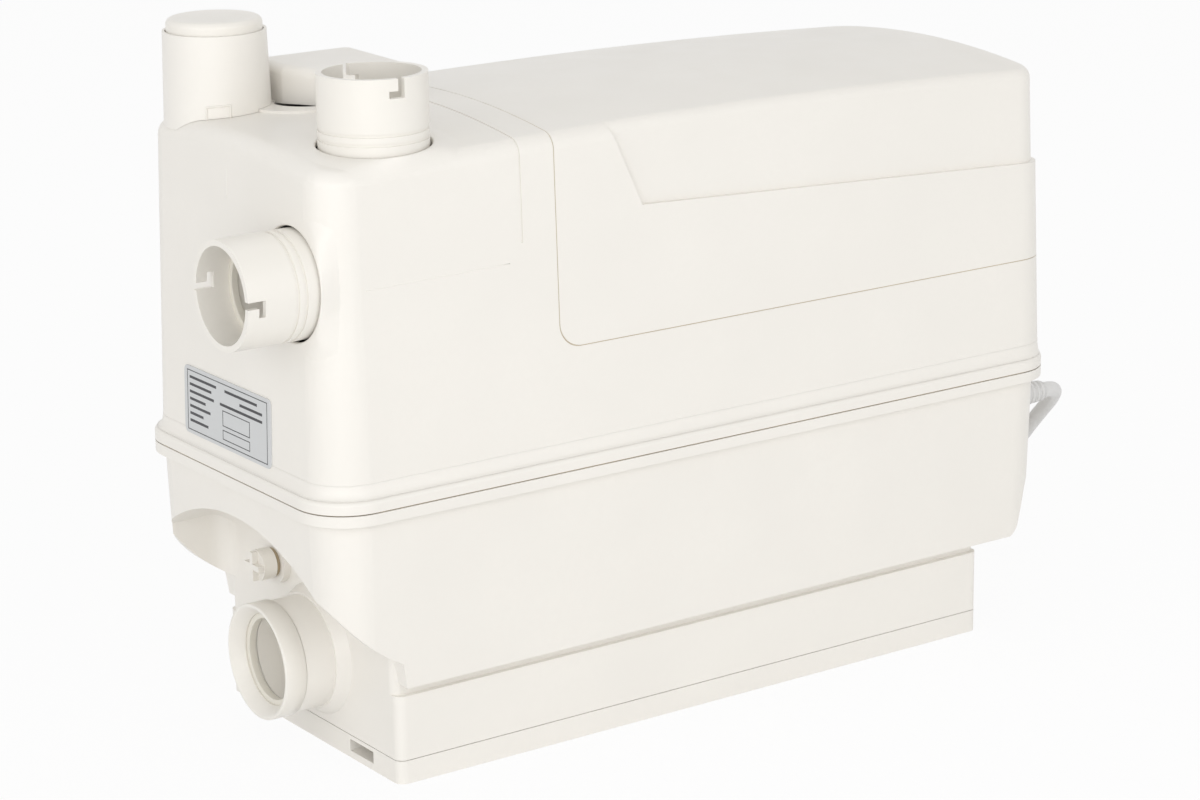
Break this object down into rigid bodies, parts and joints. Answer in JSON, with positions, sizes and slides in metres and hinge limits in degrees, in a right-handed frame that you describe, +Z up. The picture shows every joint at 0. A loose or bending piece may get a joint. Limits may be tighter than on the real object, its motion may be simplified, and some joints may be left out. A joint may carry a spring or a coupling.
{
  "type": "sewage lifting unit",
  "caption": "Compact waste water lifting unit: tank on a plinth with low, side and top inlets, vent column, motor cover and an inner pump that lifts the water.",
  "frame": {"origin": "on the floor, under the middle of the unit without its mains lead", "axes": "+X along the unit from its inlet end to its lead end, +Y from the side that the picture shows to the discharge side, +Z up"},
  "size_m": [0.4581, 0.2857, 0.292],
  "materials": {
    "housing_plastic": "satin moulded plastic",
    "fitting_plastic": "satin moulded plastic",
    "inner_plastic": "plain moulded plastic",
    "dark_plastic": "plain moulded plastic",
    "seal_rubber": "moulded rubber",
    "cast_metal": "as cast",
    "turned_steel": "turned",
    "core_steel": "stacked sheet",
    "copper_winding": "varnished wire",
    "can_metal": "drawn can",
    "board": "lacquered",
    "filter_foam": "open foam",
    "plate_film": "printed film",
    "lead_plastic": "flexible sheath",
    "pin_brass": "plated"
  },
  "bodies": {
    "unit": {"tank": "housing_plastic", "upper_housing": "housing_plastic", "motor_cover": "housing_plastic", "valve_cover": "housing_plastic", "base_frame": "housing_plastic", "vent_sleeve": "housing_plastic", "top_inlet_socket": "fitting_plastic", "side_inlet_socket": "fitting_plastic", "low_inlet_collar": "fitting_plastic", "discharge_port": "fitting_plastic", "inlet_tee": "inner_plastic", "vent_pipe": "inner_plastic", "pump_plate": "inner_plastic", "pump_volute": "inner_plastic", "riser_pipe": "inner_plastic", "suction_strainer": "inner_plastic", "check_valve_body": "inner_plastic", "check_valve_lid": "inner_plastic", "pressure_bell": "inner_plastic", "switch_body": "inner_plastic", "control_box": "inner_plastic", "control_lid": "inner_plastic", "micro_switch": "dark_plastic", "rim_gasket": "seal_rubber", "floor_pads": "seal_rubber", "top_socket_seal": "seal_rubber", "side_socket_seal": "seal_rubber", "low_socket_seal": "seal_rubber", "drain_seal": "seal_rubber", "plate_seal": "seal_rubber", "shaft_seal": "seal_rubber", "motor_housing": "cast_metal", "motor_end_cap": "cast_metal", "low_flap_pin": "turned_steel", "plate_screws": "turned_steel", "motor_screws": "turned_steel", "lower_bearing": "turned_steel", "upper_bearing": "turned_steel", "check_valve_pin": "turned_steel", "stator_core": "core_steel", "stator_windings": "copper_winding", "capacitor": "can_metal", "control_board": "board", "carbon_filter": "filter_foam", "rating_plate": "plate_film", "cable_gland": "lead_plastic", "mains_lead": "lead_plastic", "lead_coil": "lead_plastic", "lead_tail": "lead_plastic", "plug_body": "lead_plastic", "plug_pins": "pin_brass"},
    "rotor": {"rotor_shaft": "turned_steel", "rotor_core": "core_steel", "cooling_fan": "inner_plastic", "impeller": "inner_plastic"},
    "check_flap": {"check_valve_flap": "seal_rubber"},
    "low_flap": {"low_inlet_flap": "seal_rubber"},
    "drain": {"drain_plug": "fitting_plastic"},
    "vent_lid": {"vent_cap": "fitting_plastic"},
    "plunger": {"switch_plunger": "dark_plastic"}
  },
  "joints": [
    {"name": "rotor_spin", "type": "hinge", "parent": "unit", "child": "rotor", "pos_m": [0.0605, -0.008, 0.15], "axis": [0, 0, 1], "continuous": true},
    {"name": "check_flap_swing", "type": "hinge", "parent": "unit", "child": "check_flap", "pos_m": [-0.1085, 0.0093, 0.2083], "axis": [1, 0, 0], "range_deg": [0, 60]},
    {"name": "low_flap_swing", "type": "hinge", "parent": "unit", "child": "low_flap", "pos_m": [-0.1355, -0.014, 0.0615], "axis": [0, -1, 0], "range_deg": [0, 70]},
    {"name": "drain_turn", "type": "hinge", "parent": "unit", "child": "drain", "pos_m": [-0.1435, 0.014, 0.07], "axis": [-1, 0, 0], "range_deg": [0, 90]},
    {"name": "vent_cap_lift", "type": "slide", "parent": "unit", "child": "vent_lid", "axis": [0, 0, 1], "range_m": [0, 0.04]},
    {"name": "switch_travel", "type": "slide", "parent": "unit", "child": "plunger", "axis": [0, 0, 1], "range_m": [0, 0.0015], "stiffness_N_per_m": 150, "springref_m": -0.0005}
  ]
}
